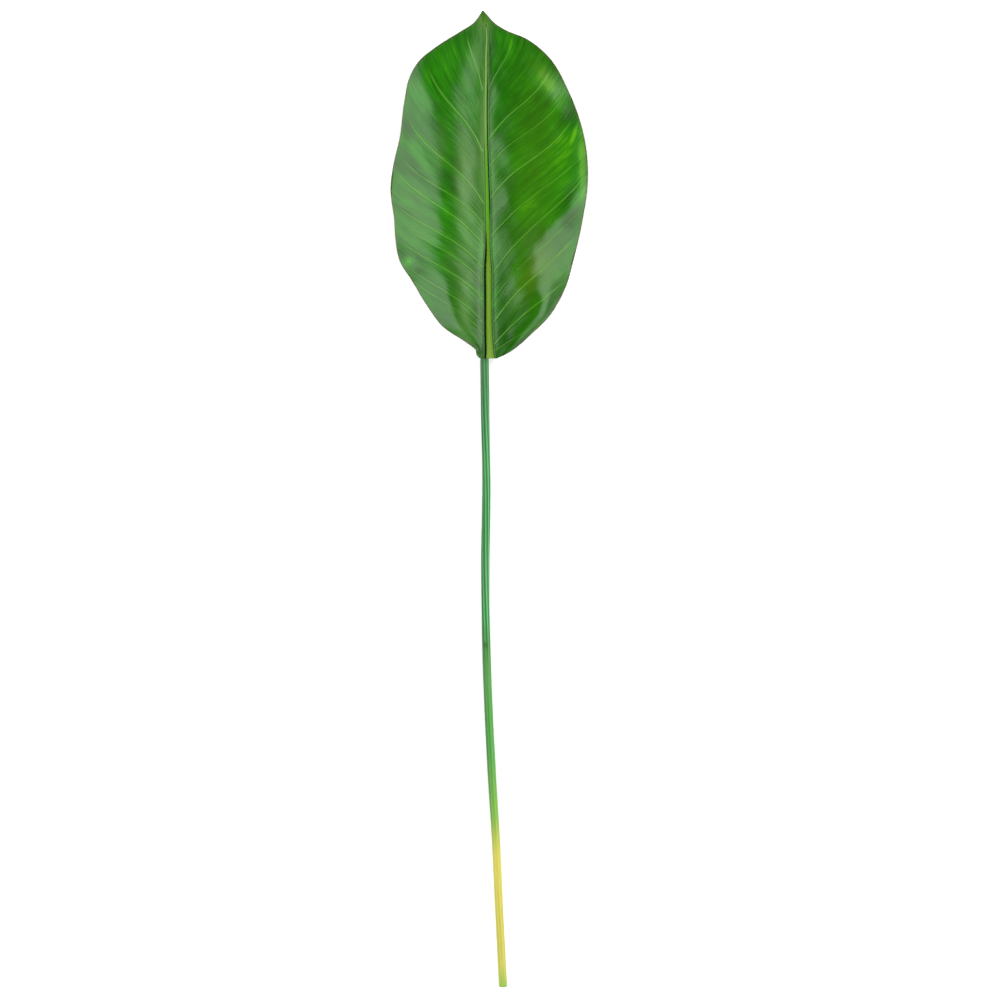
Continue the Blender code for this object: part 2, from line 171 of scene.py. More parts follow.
# Rib: a tapered strip in a channel along the face
RIB_END = 286.0
RIB_WIDTHS = (
    (0, 7.3), (3, 6.5), (8, 5.9), (20, 5.3), (50, 4.6), (80, 4.2), (88, 3.1), (98, 2.5),
    (112, 3.1), (130, 3.2), (153, 2.6), (200, 2.1), (256, 1.6), (286, 1.1),
)
RIB_PROUD = ((0, 2.3), (6, 1.5), (50, 1.4), (80, 1.3), (96, 0.7), (130, 0.8), (200, 0.5), (286, 0.25))
CHANNEL_DEPTHS = ((0, 2.2), (90, 1.9), (150, 1.3), (286, 0.9))
CREVICE_WIDTHS = {
    -1: ((0, 1.5), (85, 1.5), (112, GAP), (299.7, GAP)),
    1: ((0, GAP), (115, GAP), (130, 0.7), (225, 0.7), (245, GAP), (299.7, GAP)),
}
CREVICE_SHADES = {-1: 1.0, 1: 0.4}  # how dark the painted shade in them is
WALL_SLOPE = 0.25
LIP_WIDTH = 1.5
LIP_DROP = 0.3
CHANNEL_SHARES = (0.56, 0.62, 0.8)  # most of a narrow row that the channel takes
RIB_FACETS = 14  # round the top of the strip
RIB_SHOULDERS = (0.7, 0.35)  # lowest of its round top, by its half width and by its height
RIB_SNUG = 0.22  # how much wider it is where it fills its channel

# Keel along the underside
FLOOR_THICKNESS = 1.0
KEEL_DEPTHS = ((0, 4.6), (26, 4.2), (60, 2.0), (150, 1.6), (299.7, 0.3))
KEEL_HALF_WIDTHS = ((0, 9.5), (30, 9.0), (70, 6.0), (299.7, 3.0))
KEEL_OFFSETS = ((0, -3.6), (30, -3.0), (70, 0.0), (299.7, 0.0))

# Stem: fluted rod, its middle line as (y, x) and as (y, z)
STEM_LINE = (
    (CUT_Y, 12.1), (-345, 8.3), (-293, 5.9), (-242, 2.7), (-190, 0.0), (-126, -2.4),
    (-61, -3.2), (16, -2.3), (68, -3.2), (120, -3.9), (BASE_Y + 60, -4.0),
)
STEM_HEIGHTS = (
    (CUT_Y, 3.0), (-372, 3.0), (-350, 3.2), (-315, 3.65), (-200, 4.3), (60, 5.6), (BASE_Y + 60, 5.8),
)
STEM_RADII = ((CUT_Y, 3.55), (BASE_Y + 60, 3.75))
STEM_TOP_Y = BASE_Y + 24
FLUTES = 8
FULL_FLUTE = 0.34
FLUTE_DEPTHS = ((CUT_Y, 0.1), (-160, 0.12), (-118, FULL_FLUTE), (BASE_Y + 60, FULL_FLUTE))
TWIST_PER_MM = 0.006
CUT_BEVEL = 0.5
STEM_SIDES = 96

# Nick in the stem: place, direction it faces, depth, length, and span in radians
NICK_Y = -125.6
NICK_ANGLE = np.radians(125)
NICK_DEPTH = 0.35
NICK_LENGTH = 2.4
NICK_SPAN = 0.7

# Painted shade round the rod, from its left side, -1, to its right side, 1: darkest on the left, and least
# right of the middle, which reads as a painted highlight
SIDE_SHADES = (
    (-1, 1.0), (-0.65, 0.74), (-0.4, 0.49), (-0.13, 0.4), (0.13, 0.26), (0.4, 0.0), (0.65, 0.06),
    (1, 0.35),
)
SIDE_SHADE_RISE = (-330.0, -220.0)  # where the painted shade comes in, going up

# Socket: a sleeve under the base of the blade, which fairs into the keel
SOCKET_RINGS = (
    # (height, lift above the stem's middle line, radius)
    (1.6, 0.0, 4.8), (2.0, 0.0, 5.05), (2.4, 0.0, 5.15), (5.0, 0.0, 5.15), (6.5, 0.0, 5.0),
    (22.0, 0.0, 5.0), (26.0, 0.3, 4.5), (30.0, 0.7, 3.9), (34.0, 1.1, 3.3), (38.0, 1.6, 2.7),
    (42.0, 2.05, 2.15), (46.0, 2.5, 1.6), (49.0, 2.9, 1.15), (52.0, 3.3, 0.7),
)
SOCKET_SIDES = 48

# Finer grid that the blade is made on here, and its rounded edge
ROW_STEP = 1.8
ROW_GAP = 0.2
VEIN_ROWS = (0.25, 0.5, 0.9, 1.4)
MAIN_COLUMNS = 46
COLUMN_CROWDING = 0.35  # how much closer the columns are beside the rib
RIM_WIDTH = 2.4
RIM_COLUMNS = (2.4, 1.6, 1.0, 0.62, 0.35, 0.14, 0.0)
RIM_ROUND = 0.6
RIM_DROP = 0.32
RIM_DROP_BELOW = 0.8  # of the drop on the face

# Veins: shares of a row where one dies away, how much lower it gets going out,
# and how well its colour covers
VEIN_FADE = (0.78, 0.97)
VEIN_TAPER = 0.4
VEIN_COVER = 0.85

# Slow unevenness of the sheet: its shortest and longest wave, and how many add up
RIPPLE_WAVES = (11.0, 48.0)
RIPPLE_COUNT = 12

# Dark line round the margin, and a distance from it with no line at all
RIM_LINE = 0.9
FAR_INSIDE = 50.0

# Marks in the colour, partly the paint's own tone and partly painted light: (x, height, length, width, lean
# in degrees, strength)
# Lighter dabs: mostly the paint's own tone, with painted highlights on the curled margins and on the patch
# at the upper right
FRESH_AND_HIGHLIGHT_MARKS = (
    (60, 165, 42, 17, 80, 0.8), (58, 212, 16, 10, 50, 0.4), (-50, 245, 14, 14, 60, 0.3),
    (-20, 262, 14, 12, 90, 0.3), (20, 262, 16, 14, 60, 0.2), (-69.5, 83, 5, 3.4, 20, 1.1),
    (73.2, 192.5, 7, 1.5, 70, 1.3), (52, 236, 17, 8, 125, 1.3), (42, 42, 9, 7, 60, 0.45),
    (-36, 150, 60, 5, 88, 0.3), (30, 120, 45, 8, 80, 0.2), (29, 190, 55, 13, 90, 0.4),
    (80.5, 165, 40, 4, 90, 0.9), (-60.5, 175, 24, 5, 131, 0.6), (18, 272, 14, 4, 95, 0.5),
    (8, 277, 9, 3, 95, 0.5), (74, 136, 10, 5, 60, 0.5), (66, 162, 16, 8, 80, 0.4),
    (-33, 258, 14, 6, 80, 0.4),
)
# Darker dabs: partly the paint's own tone and partly painted shade, where the face turns from the lights,
# as beside the rib's crevice
DARK_AND_SHADE_MARKS = (
    (-61, 75, 4, 2.2, 20, 0.8), (68, 209, 12, 7, 60, 0.9), (40, 170, 40, 10, 70, 0.15),
    (14, 110, 110, 9, 88, 0.35), (25, 25, 30, 14, 45, 0.35), (0, 262, 30, 40, 90, 0.2),
    (1.2, 238, 42, 1.5, 90, 0.8), (-44, 200, 60, 9, 95, 0.2), (-70, 197, 25, 6, 82, 0.5),
    (-59, 159, 24, 8, 149, 0.6), (-71, 126, 13, 1.8, 146, 0.8), (-76, 92, 12, 4, 100, 0.6),
    (-62, 84, 12, 8, 140, 0.4), (70, 118, 18, 9, 60, 0.8), (70, 140, 6, 4, 60, 0.4),
    (-9.5, 45, 45, 3.2, 92, 0.9), (15, 59, 20, 7, 80, 0.3),
)
OLIVE_MARKS = (
    (48, 246, 11, 4, 140, 0.3), (35, 70, 25, 8, 60, 0.35), (-4, 290, 9, 6, 95, 0.45),
    (38, 155, 110, 24, 86, 0.24), (46, 80, 26, 16, 80, 0.2),
)
# Painted sheen: grey-green patches that stand in for the soft boxes' reflection on the face
PAINTED_SHEEN_MARKS = (
    (62, 74, 26, 12, 70, 0.05), (-62, 135, 24, 13, 100, 0.2), (-20, 115, 95, 9, 92, 0.42),
    (35, 102, 14, 9, 60, 0.15), (52, 236, 14, 8, 125, 0.3), (-5, 291, 9, 6, 90, 0.4),
    (-22, 40, 30, 7, 95, 0.45), (-20, 165, 30, 9, 90, 0.4), (-5, 175, 65, 5, 90, 0.75),
    (-41, 182, 25, 5, 88, 0.3), (-61, 104, 18, 12, 90, 0.12), (82, 160, 35, 2.5, 93, 0.4),
    (-12, 262, 16, 6, 90, 0.35), (-33, 85, 18, 7, 95, 0.25),
)

# Paint on the face: its tone from 0 to 1, and how far each layer moves it
TONE = 0.42
CLOUD_SIZE = 35.0
CLOUD_SHARE = 0.9
# The fresh and dark dabs move the tone by painted highlight and painted shade as well as by the paint's own
# tone
DAB_SHARES = (("fresh", 0.55), ("dark", -0.5))

# Brush patterns: repeats in 100 mm along a stroke and across it, detail, roughness
# and share in the tone
GRAIN_UNIT = 100.0
BRUSHES = {
    # A wide brush, 59 mm by 7 mm
    "sweep": (1.7, 14.0, 2.0, 0.5, 0.7),
    # A narrow one, 25 mm by 2.5 mm
    "stroke": (4.0, 40.0, 3.0, 0.6, 0.6),
    # Bristle marks, really 0.3 mm wide, drawn 1 mm wide so that they show
    "hair": (9.0, 100.0, 2.0, 0.7, 0.5),
}

# Studio: lens, width of the picture at the place it looks at, and half the floor
FOCAL_LENGTH = 135.0
PICTURE_WIDTH = 860.0
LOOK_AT = (9.46, -0.86, 10.0)
FLOOR_HALF = 6000.0
FLOOR_GLOW = 0.18

# Grey of the sky by height: pale at the horizon and dark overhead
SKY_GREYS = ((0.0, 1.0), (0.35, 0.8), (0.8, 0.12), (1.0, 0.02))

# Soft boxes: axis of the direction, where a fade starts and ends, and its values
BOX_FADES = (
    ("X", 0.27, 0.5, 0.0, 1.0),
    ("X", 0.78, 0.96, 1.0, 0.0),
    ("Y", 0.35, 0.75, 1.0, 0.0),
    ("Z", 0.1, 0.4, 0.0, 1.0),
)

# Colour sockets of Blender's Mix node
MIX_A, MIX_B, MIX_RESULT = 6, 7, 2


def linear(code):
    """An sRGB hex colour as linear red, green and blue."""
    parts = [int(code[k : k + 2], 16) / 255 for k in (1, 3, 5)]
    return tuple(c / 12.92 if c <= 0.04045 else ((c + 0.055) / 1.055) ** 2.4 for c in parts)


def colour_property(label, note, code):
    """A colour that a user can change."""
    return bpy.props.FloatVectorProperty(
        name=label, description=note, subtype="COLOR", size=3, min=0.0, max=1.0, default=linear(code)
    )


def length_property(label, note, default):
    """A length in metres that a user can change, from millimetres."""
    return bpy.props.FloatProperty(
        name=label, description=note, default=default * MM, min=0.0, unit="LENGTH", precision=5
    )


class LEAF_PG_blade(bpy.types.PropertyGroup):
    """Sizes and colours of the blade."""

    vein_height: length_property("Vein height", "How far a side vein stands proud", 0.2)
    vein_width: length_property("Vein half width", "Half width of a side vein", 0.36)
    pillow: length_property("Pillow", "Swell of the blade between its veins", 0.3)
    ripple: length_property("Ripple", "Slow unevenness of the moulded sheet", 0.35)
    deep: colour_property("Deep green", "Darkest paint on the face", "#0E3C01")
    middle: colour_property("Leaf green", "Main paint on the face", "#165800")
    fresh: colour_property("Fresh green", "Lighter paint on the face", "#227000")
    lime: colour_property("Lime", "Lightest dabs of paint", "#4B8E08")
    vein: colour_property("Vein", "Side veins", "#4F8A12")
    olive: colour_property("Olive", "Brownish shading", "#46600C")
    # Painted sheen: the grey-green of reflected light laid into the colour
    pale: colour_property("Grey green", "Worn, paler patches", "#4E7436")
    rim: colour_property("Rim", "Thin line round the margin", "#3C2E0C")
    # Painted shade: a dark colour laid in the crevice beside the rib, where shade falls
    groove: colour_property("Groove", "Paint in the crevice beside the rib", "#0C3B04")
    sheen: colour_property("Sheen", "Green tinge of the clear coat", "#E0FFD6")
    under: colour_property("Underside", "Unpainted back of the blade", "#5F8C50")


class LEAF_PG_rib(bpy.types.PropertyGroup):
    """Colours of the midrib."""

    base: colour_property("Base", "Pale foot of the rib", "#66862A")
    low: colour_property("Lower rib", "Wide lower part", "#527804")
    # Painted highlight along the top of the rib's lower part
    crown_highlight: colour_property("Crown", "Paler middle of the lower part", "#6E8C38")
    high: colour_property("Upper rib", "Narrow upper part", "#45860A")
    top: colour_property("Top", "Pale thin upper end", "#668F3C")
    # Painted shade for the rib's darker side
    shade: colour_property("Shade", "Darker side of the rib", "#2F5F10")


class LEAF_PG_stem(bpy.types.PropertyGroup):
    """Colours of the stem."""

    # Painted shadow: the blade's shadow on the top of the stem
    head: colour_property("Head", "Under the blade", "#37904A")
    upper: colour_property("Upper stem", "Blue green upper half", "#52AE64")
    lower: colour_property("Lower stem", "Yellower green lower down", "#3F8E2B")
    change: colour_property("Change", "Where the dye thins out", "#70A034")
    pale: colour_property("Undyed", "Yellow plastic at the cut end", "#BAB046")
    cut: colour_property("Cut end", "Green tinge at the cut", "#86A82E")
    # Painted shade in the hollows of the flutes
    flute_shade: colour_property("Flutes", "Shade of the dye in the flutes", "#5A9C6C")
    # Painted shade on the left side of the rod
    side_shade: colour_property("Drained side", "Shade where the dye lies thicker", "#7EA078")
    nick: colour_property("Nick", "Dye that gathered in the nick", "#06400A")


class LEAF_PG_stage(bpy.types.PropertyGroup):
    """Studio round the leaf."""

    floor: colour_property("Floor", "Plain pale floor", "#FAFAFA")
    radiance: bpy.props.FloatProperty(
        name="Light", description="Brightness of the two tall soft boxes", default=3.8, min=0.0
    )


def spline(knots, places):
    """Smooth values at the places, through knots of (place, value)."""
    place, value = np.array(knots, float).T
    slope = np.gradient(value, place)
    at = np.clip(places, place[0], place[-1])
    k = np.clip(np.searchsorted(place, at, side="right") - 1, 0, len(place) - 2)
    step = place[k + 1] - place[k]
    t = (at - place[k]) / step
    start = (2 * t**3 - 3 * t**2 + 1) * value[k] + (t**3 - 2 * t**2 + t) * step * slope[k]
    end = (3 * t**2 - 2 * t**3) * value[k + 1] + (t**3 - t**2) * step * slope[k + 1]
    return start + end


def straight(knots, places):
    """Values at the places on straight lines between knots of (place, value)."""
    return np.interp(places, *np.array(knots, float).T)


def smooth_step(value, low, high):
    """Rises from 0 at low to 1 at high."""
    t = np.clip((value - low) / (high - low), 0.0, 1.0)
    return t * t * (3 - 2 * t)


def soft_ramp(value, width):
    """Zero below zero and the value itself above, with a soft corner."""
    return width * np.logaddexp(0.0, value / width)


def edge_curve(points):
    """Evenly spaced (x, height) points along a blade edge, and their shares."""
    points = np.array(points, float)
    steps = np.hypot(*np.diff(points, axis=0).T)
    places = np.concatenate(([0.0], np.cumsum(steps)))
    dense = np.linspace(0.0, places[-1], 1600)
    x = spline(np.column_stack((places, points[:, 0])), dense)
    height = spline(np.column_stack((places, points[:, 1])), dense)
    along = np.concatenate(([0.0], np.cumsum(np.hypot(np.diff(x), np.diff(height)))))
    return x, height, along / along[-1]


EDGES = {-1: edge_curve(LEFT_EDGE), 1: edge_curve(RIGHT_EDGE)}
VEINS = {-1: LEFT_VEINS, 1: RIGHT_VEINS}


def half_width(side, height):
    """Distance from the rib's middle to the edge, at a height."""
    x, heights, _ = EDGES[side]
    return np.interp(height, heights, np.abs(x - spline(RIB_LINE, heights)))


def edge_share(side, height):
    """Where a row that leaves the rib at this height meets the edge."""
    knots = ((0.0, 0.0),) + tuple(vein[:2] for vein in VEINS[side]) + ((BLADE_LENGTH, 1.0),)
    if side < 0:
        knots = knots[:1] + EAR_SHARES + knots[1:]
    return np.clip(spline(knots, height), 0.0, 1.0)


def channel_offsets(side, height):
    """Distances from the rib's middle to the channel's floor edge, wall top and lip."""
    floor = spline(RIB_WIDTHS, height) / 2 + straight(CREVICE_WIDTHS[side], height)
    offsets = (floor, floor + WALL_SLOPE, floor + WALL_SLOPE + LIP_WIDTH)
    width = half_width(side, height)
    return [np.minimum(offset, width * share) for offset, share in zip(offsets, CHANNEL_SHARES)]


def channel_depth(height):
    """Depth of the rib's channel below the lips, running out past the rib's end."""
    run_out = 1.0 - smooth_step(height, RIB_END + 1.0, RIB_END + 4.0)
    return spline(CHANNEL_DEPTHS, height) * run_out


def face_height(side, x, height):
    """Height of the smooth face above the surface that the leaf lies on."""
    lip = spline(LIP_HEIGHTS, height)
    width = half_width(side, height)
    inner = channel_offsets(side, height)[2]
    run = np.maximum(width - inner, 0.01)
    off = np.clip(np.abs(x - spline(RIB_LINE, height)) - inner, 0.0, run)
    soft = np.minimum(CORNER_SOFTNESS, 0.1 * run + 0.02)
    low, high = (straight(table[side], height) * run for table in (INNER_STARTS, CREST_STARTS))
    end = np.maximum(straight(CREST_ENDS[side], height) * run, high)
    scale = np.minimum(run / 25.0, 1.0)
    flank = spline(FLANK_RISES[side], height) * scale * (1 - np.exp(-off / FLANK_REACH))
    climb = soft_ramp(off - low, soft) - soft_ramp(off - high, soft)
    climb -= soft_ramp(-low, soft) - soft_ramp(-high, soft)
    top = lip + flank + straight(INNER_SLOPES[side], height) * climb
    droop = soft_ramp(off - end, soft) / soft_ramp(run - end, soft)
    return top + (spline(EDGE_HEIGHTS[side], height) - top) * np.minimum(droop, 1.0) ** DROOP_POWER


def keel_drop(x, height):
    """How far the keel stands below the blade's underside."""
    middle = spline(RIB_LINE, height) + spline(KEEL_OFFSETS, height)
    off = np.minimum(np.abs(x - middle) / spline(KEEL_HALF_WIDTHS, height), 1.0)
    return spline(KEEL_DEPTHS, height) * (1 - off**2) ** 2


def row_heights():
    """Heights on the rib where the grid's rows start, close together at the veins."""
    wanted = [0.0, BLADE_LENGTH]
    for height, _, _ in LEFT_VEINS + RIGHT_VEINS:
        wanted += [height + sign * off for off in VEIN_ROWS for sign in (-1, 1)] + [height]
    # More rows round the base and the tip, where the outline turns
    wanted += list(np.arange(0.6, 7.0, 0.8)) + list(np.arange(RIB_END, BLADE_LENGTH, 1.0))
    rows = []
    for height in sorted(wanted):
        if not rows or height - rows[-1] > ROW_GAP:
            rows.append(height)
    filled = []
    for low, high in zip(rows, rows[1:]):
        count = int(np.ceil((high - low) / ROW_STEP))
        filled += [low + (high - low) * k / count for k in range(count)]
    return np.array(filled + [rows[-1]])


def mark_strength(marks, x, height):
    """Sum of soft oval brush marks at each point."""
    total = np.zeros_like(x)
    for mark_x, mark_height, length, width, lean, strength in marks:
        turn = np.radians(lean)
        along = (x - mark_x) * np.cos(turn) + (height - mark_height) * np.sin(turn)
        across = (height - mark_height) * np.cos(turn) - (x - mark_x) * np.sin(turn)
        total += strength * np.exp(-((along / length) ** 2) - (across / width) ** 2)
    return total


def ripple(x, height):
    """Slow unevenness of a moulded sheet, between about -1 and 1."""
    draw = np.random.default_rng(11)
    total = np.zeros_like(x)
    for _ in range(RIPPLE_COUNT):
        wave = draw.uniform(*RIPPLE_WAVES)
        lean = draw.uniform(0.0, np.pi)
        phase = draw.uniform(0.0, 2 * np.pi)
        run = x * np.cos(lean) + height * np.sin(lean)
        total += wave / 40.0 * np.sin(2 * np.pi * run / wave + phase)
    return total / 3.0


def margin_distance(side, x, height):
    """Distance of each point from the blade's edge."""
    edge_x, edge_height, _ = EDGES[side]
    nearest = np.full(x.shape, 1e6)
    for px, ph in zip(edge_x[::4], edge_height[::4]):
        nearest = np.minimum(nearest, (x - px) ** 2 + (height - ph) ** 2)
    return np.sqrt(nearest)


def half_sheet(side, rows, settings):
    """One half of the blade, rib to margin, as grids of places and of paint masks."""
    row = rows[:, None]
    middle = spline(RIB_LINE, row)
    floor, wall, lip = channel_offsets(side, row)
    lip_z = spline(LIP_HEIGHTS, row)
    depth = channel_depth(row)
    drop = np.minimum(LIP_DROP, depth)

    # Channel: floor, wall and rolled lip
    lip_shares = np.array((0.12, 0.3, 0.55, 0.8))[None, :]
    offset = np.hstack((
        floor * np.array((0.0, 0.5, 0.85, 1.0))[None, :],
        (floor + wall) / 2,
        wall,
        wall + (lip - wall) * lip_shares,
    ))
    bottom = lip_z - depth
    channel_z = np.hstack((
        np.repeat(bottom, 4, axis=1),
        (bottom + lip_z - drop) / 2,
        lip_z - drop,
        lip_z - drop * (1 - lip_shares) ** 2,
    ))
    channel_x = middle + side * offset
    channel_h = np.repeat(row, offset.shape[1], axis=1)
    channel_back = face_height(side, channel_x, channel_h) - BLADE_THICKNESS
    channel_back -= keel_drop(channel_x, channel_h)
    under_floor = np.minimum(channel_back, bottom - FLOOR_THICKNESS)
    fade = np.clip((offset - wall) / np.maximum(lip - wall, 1e-6), 0.0, 1.0)
    channel_back = under_floor * (1 - fade) + channel_back * fade

    # Painted shade in the crevice beside the rib, darkest on the left
    open_width = straight(CREVICE_WIDTHS[side], row) - GAP
    crevice = np.clip(0.25 + open_width / 0.5, 0.0, 1.0) * CREVICE_SHADES[side]

    # Face: rows bow from the lip to the edge, and run straight at the base
    start = np.stack((middle + side * lip, row), axis=-1)
    share = edge_share(side, rows)
    edge_x, edge_height, known = EDGES[side]
    end = np.stack([np.interp(share, known, line) for line in (edge_x, edge_height)], axis=-1)[:, None]
    chord = end - start
    length = np.hypot(chord[..., 0], chord[..., 1])
    up = np.zeros_like(chord)
    up[..., 1] = length
    lift = START_LIFT * smooth_step(rows, 2, 20)
    sag = straight(SAG_SHARES, rows) * smooth_step(rows, 2, 30)
    handle_a = start + chord * HANDLE_PLACES[0] + up * lift[:, None, None]
    handle_b = start + chord * HANDLE_PLACES[1] - up * sag[:, None, None]
    rim = np.minimum(RIM_WIDTH, 0.5 * length)
    spread = np.linspace(0.0, 1.0, MAIN_COLUMNS, endpoint=False)[None, :]
    spread = spread * (1 - COLUMN_CROWDING + COLUMN_CROWDING * spread)
    near_edge = np.array(RIM_COLUMNS)[None, :] / RIM_WIDTH
    length_safe = np.maximum(length, 1e-6)
    t = np.hstack((spread * (1 - rim / length_safe), 1 - near_edge * rim / length_safe))
    tt = t[..., None]
    places = (
        (1 - tt) ** 3 * start
        + 3 * (1 - tt) ** 2 * tt * handle_a
        + 3 * (1 - tt) * tt**2 * handle_b
        + tt**3 * end
    )
    x, height = places[..., 0], places[..., 1]

    # Distance across the rows from each vein
    drift = np.gradient(places, rows, axis=0)
    run = np.gradient(places, axis=1)
    run /= np.maximum(np.hypot(run[..., 0], run[..., 1]), 1e-9)[..., None]
    spacing = np.abs(drift[..., 0] * run[..., 1] - drift[..., 1] * run[..., 0])
    vein = np.zeros_like(x)
    ridge = np.zeros_like(x)
    width = settings.vein_width / MM
    fade_out = 1 - smooth_step(t, *VEIN_FADE)
    for vein_height, _, strength in VEINS[side]:
        away = (row - vein_height) * np.maximum(spacing, 0.3)
        line = strength * np.exp(-((away / width) ** 2)) * fade_out
        ridge = np.maximum(ridge, line * (1 - VEIN_TAPER * t))
        vein = np.maximum(vein, line)
    starts = np.array([vein_height for vein_height, _, _ in VEINS[side]])
    gap = np.clip(np.searchsorted(starts, rows) - 1, 0, len(starts) - 2)
    phase = np.clip((rows - starts[gap]) / (starts[gap + 1] - starts[gap]), 0, 1)[:, None]
    swell = np.sin(np.pi * phase) ** 2 * np.sin(np.pi * np.clip(t, 0, 1)) * settings.pillow / MM
    away_from_margin = margin_distance(side, x, height)
    # The sheet lies calmer beside the rib and along the margin
    calm = smooth_step(t, 0.02, 0.2) * smooth_step(away_from_margin, 0.0, 14.0)
    uneven = ripple(x, height) * calm * settings.ripple / MM
    raised = ridge * settings.vein_height / MM
    ceiling = CAD_BOX[1][2] / MM - raised
    room = ceiling - face_height(side, x, height) - swell - uneven
    smooth = ceiling - soft_ramp(room, CEILING_SOFTNESS)
    near = np.clip(away_from_margin / RIM_ROUND, 0.0, 1.0)
    rounding = RIM_DROP * (1 - np.sqrt(np.clip(1 - (1 - near) ** 2, 0.0, 1.0)))
    thickness = BLADE_THICKNESS + (EDGE_THICKNESS - BLADE_THICKNESS) * t
    face = smooth + raised - rounding
    keel = keel_drop(x, height) * smooth_step(away_from_margin, 0.0, 2.0)
    back = smooth - thickness - keel - raised + rounding * RIM_DROP_BELOW

    # A pale line carries on past the rib's end and fades out before the tip
    past_rib = 0.8 * (row > RIB_END - 1.5) * (1 - smooth_step(row, RIB_END + 3.0, RIB_END + 9.0))
    past_rib = past_rib * np.exp(-((offset / 0.9) ** 2))
    count = offset.shape[1]
    return {
        "x": np.hstack((channel_x, x)),
        "height": np.hstack((channel_h, height)),
        "face": np.hstack((channel_z, face)),
        "back": np.hstack((channel_back, back)),
        "along": side * np.hstack((offset, lip + t * length)),
        "row": np.repeat(row, count + t.shape[1], axis=1),
        "vein": np.hstack((past_rib, vein)),
        "margin": np.hstack((np.full_like(offset, FAR_INSIDE), away_from_margin)),
        "groove": np.hstack((crevice * (1 - smooth_step(offset, wall - 0.05, lip)), 0 * t)),
    }


def blade_grids(settings):
    """The whole blade, left margin to right margin."""
    rows = row_heights()
    left = half_sheet(-1, rows, settings)
    right = half_sheet(1, rows, settings)
    grids = {key: np.hstack((left[key][:, :0:-1], right[key])) for key in left}
    # Whatever would sink below the floor is lifted onto it
    lowest = np.maximum(grids["back"], 0.0)
    grids["face"] += lowest - grids["back"]
    grids["back"] = lowest
    return grids


def sheet_faces(rows, columns, flip, first):
    """Triangles of a grid of points, split alike whichever way they face."""
    r, c = np.meshgrid(np.arange(rows - 1), np.arange(columns - 1), indexing="ij")
    a = first + r * columns + c
    b, d, e = a + 1, a + columns, a + columns + 1
    leans_left = (c < columns // 2)[..., None, None]
    left = np.stack((np.stack((a, b, d), -1), np.stack((b, e, d), -1)), -2)
    right = np.stack((np.stack((a, b, e), -1), np.stack((a, e, d), -1)), -2)
    faces = np.where(leans_left, left, right).reshape(-1, 3)
    return faces[:, ::-1] if flip else faces


def border(rows, columns):
    """The grid's outline, counter-clockwise seen from above."""
    base = [(0, c) for c in range(columns - 1)]
    right = [(r, columns - 1) for r in range(rows - 1)]
    tip = [(rows - 1, c) for c in range(columns - 1, 0, -1)]
    left = [(r, 0) for r in range(rows - 1, 0, -1)]
    return np.array([r * columns + c for r, c in base + right + tip + left])


def mesh_piece(name, points, faces, materials, box=CAD_BOX):
    """An object from points in millimetres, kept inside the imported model's box."""
    points = np.array(points, float) * MM
    if box:
        points = np.clip(points, *box)
    mesh = bpy.data.meshes.new(name)
    mesh.from_pydata(points.tolist(), [], [list(face) for face in faces])
    mesh.shade_smooth()
    mesh.set_sharp_from_angle(angle=np.radians(50))
    piece = bpy.data.objects.new(name, mesh)
    bpy.context.scene.collection.objects.link(piece)
    for material in materials:
        mesh.materials.append(material)
    return piece


def paint_mask(piece, name, values):
    """Keeps a value at each point, which a material reads."""
    attribute = piece.data.attributes.new(name, "FLOAT", "POINT")
    attribute.data.foreach_set("value", np.ascontiguousarray(values, dtype=np.float32).ravel())


def grain_map(piece, along, across):
    """A map that runs along the grain, one unit to GRAIN_UNIT millimetres."""
    corners = np.empty(len(piece.data.loops), dtype=np.int32)
    piece.data.loops.foreach_get("vertex_index", corners)
    layer = piece.data.uv_layers.new(name="Grain")
    both = np.column_stack((along.ravel()[corners], across.ravel()[corners])) / GRAIN_UNIT
    layer.data.foreach_set("uv", both.astype(np.float32).ravel())


def place(piece, node, slot):
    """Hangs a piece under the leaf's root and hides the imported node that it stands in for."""
    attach(piece, "root")
    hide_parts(node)


def add_node(tree, kind, inputs=None, **settings):
    """Adds a node, with its settings, socket values and links."""
    node = tree.nodes.new(kind)
    for key, value in settings.items():
        setattr(node, key, value)
    for key, value in (inputs or {}).items():
        if isinstance(value, bpy.types.NodeSocket):
            tree.links.new(value, node.inputs[key])
        else:
            node.inputs[key].default_value = value
    return node


def new_material(name):
    """An empty material and its node tree."""
    material = bpy.data.materials.new(name)
    material.use_nodes = True
    material.node_tree.nodes.clear()
    return material, material.node_tree


def fill_ramp(node, stops):
    """Sets a colour ramp's stops from (place, linear colour)."""
    ramp = node.color_ramp
    while len(ramp.elements) < len(stops):
        ramp.elements.new(0.5)
    for element, (at, colour) in zip(ramp.elements, stops):
        element.position = at
        element.color = (*colour, 1.0)
    return node.outputs["Color"]


def along_piece(tree, y, low, high, stops):
    """Colours up a piece, whose ends are given in millimetres."""
    up = add_node(tree, "ShaderNodeMapRange", {"Value": y, "From Min": low * MM, "From Max": high * MM})
    return fill_ramp(add_node(tree, "ShaderNodeValToRGB", {"Fac": up.outputs["Result"]}), stops)


def lay_over(tree, colour, layers):
    """Lays (mask, colour, blend) over a colour in order, each where its mask is."""
    for mask, layer, blend in layers:
        shown = add_node(tree, "ShaderNodeAttribute", attribute_name=mask)
        colour = add_node(
            tree,
            "ShaderNodeMix",
            {0: shown.outputs["Fac"], MIX_A: colour, MIX_B: (*layer, 1.0)},
            data_type="RGBA",
            blend_type=blend,
        ).outputs[MIX_RESULT]
    return colour


